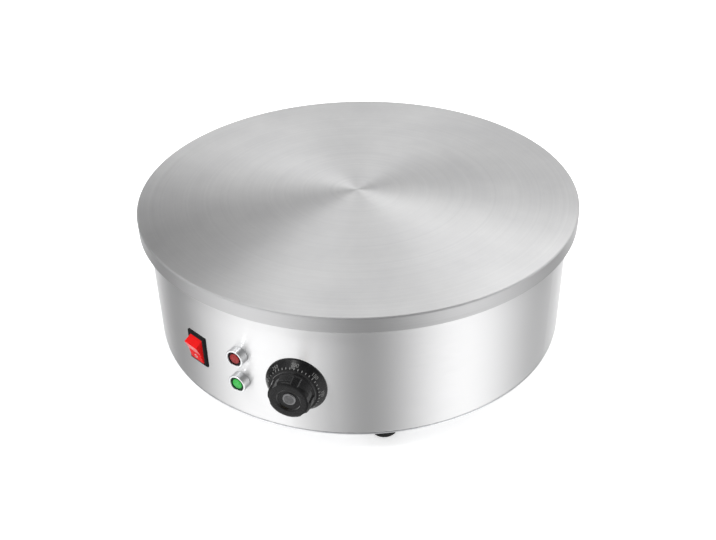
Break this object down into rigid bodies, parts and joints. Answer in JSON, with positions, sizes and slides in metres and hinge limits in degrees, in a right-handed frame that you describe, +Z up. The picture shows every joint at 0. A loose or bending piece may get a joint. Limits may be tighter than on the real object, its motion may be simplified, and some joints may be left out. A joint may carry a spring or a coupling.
{
  "type": "electric crepe maker",
  "caption": "Round flat crepe griddle plate on a stainless steel drum, with a rocker switch, pilot lamps and a thermostat dial.",
  "frame": {"origin": "on the table under the middle of the cooking plate, at the bottom centre of the whole part", "axes": "+Z up along the axis of plate and drum; the switch, lamps and dial face -Y; +X to the right seen from the front"},
  "size_m": [0.3999, 0.4226, 0.1464],
  "materials": {
    "plate_iron": "fine turned, satin",
    "drum_steel": "polished stainless sheet",
    "zinc_steel": "zinc plated",
    "element_sheath": "heat-tinted tube",
    "brass": "plain",
    "copper": "soft copper tube",
    "chrome": "polished",
    "black_moulding": "satin nylon",
    "knob_black": "soft gloss phenolic",
    "cap_grey": "bare aluminium foil disc",
    "rocker_red": "translucent polycarbonate",
    "lens_red": "translucent polycarbonate",
    "lens_green": "translucent polycarbonate",
    "rubber": "matt moulded",
    "phenolic": "moulded phenolic",
    "insulation": "ceramic fibre blanket",
    "ceramic": "unglazed steatite"
  },
  "bodies": {
    "root": {"cooking_plate": "plate_iron", "tie_rod": "zinc_steel", "tie_rod_nut": "zinc_steel", "tie_rod_washer": "zinc_steel", "heating_element": "element_sheath", "lead_insulators": "ceramic", "element_studs": "zinc_steel", "element_nuts": "zinc_steel", "pressure_plate": "zinc_steel", "insulation_pad": "insulation", "heat_shield": "zinc_steel", "drum_shell": "drum_steel", "base_plate": "zinc_steel", "base_screws": "zinc_steel", "foot_front_left": "rubber", "foot_front_right": "rubber", "foot_rear_left": "rubber", "foot_rear_right": "rubber", "foot_washers": "zinc_steel", "foot_screws": "zinc_steel", "foot_nuts": "zinc_steel", "thermostat_plate": "zinc_steel", "thermostat_body": "phenolic", "thermostat_screws": "zinc_steel", "capillary_tube": "copper", "sensor_bulb": "copper", "bulb_clips": "zinc_steel", "high_limit_cutout": "phenolic", "high_limit_screws": "zinc_steel", "terminal_block": "ceramic", "terminal_screws": "brass", "earth_stud": "brass", "switch_frame": "black_moulding", "switch_terminals": "brass", "red_lamp_bezel": "chrome", "red_lamp_lens": "lens_red", "red_lamp_body": "black_moulding", "green_lamp_bezel": "chrome", "green_lamp_lens": "lens_green", "green_lamp_body": "black_moulding", "lamp_nuts": "zinc_steel", "cable_gland": "black_moulding", "gland_nut": "black_moulding", "gland_seal": "rubber", "gland_locknut": "black_moulding"},
    "knob": {"thermostat_shaft": "brass", "dial_skirt": "knob_black", "knob_grip": "knob_black", "knob_cap": "cap_grey", "knob_spring": "zinc_steel"},
    "rocker": {"switch_rocker": "rocker_red"}
  },
  "joints": [
    {"name": "knob_turn", "type": "hinge", "parent": "root", "child": "knob", "pos_m": [0.05093, -0.18491, 0.073], "axis": [-0.2656, 0.9641, 0], "range_deg": [-183.6, 86.4]},
    {"name": "rocker_press", "type": "hinge", "parent": "root", "child": "rocker", "pos_m": [-0.04713, -0.18489, 0.072], "axis": [-0.969, 0.247, 0], "range_deg": [0, 32]}
  ]
}
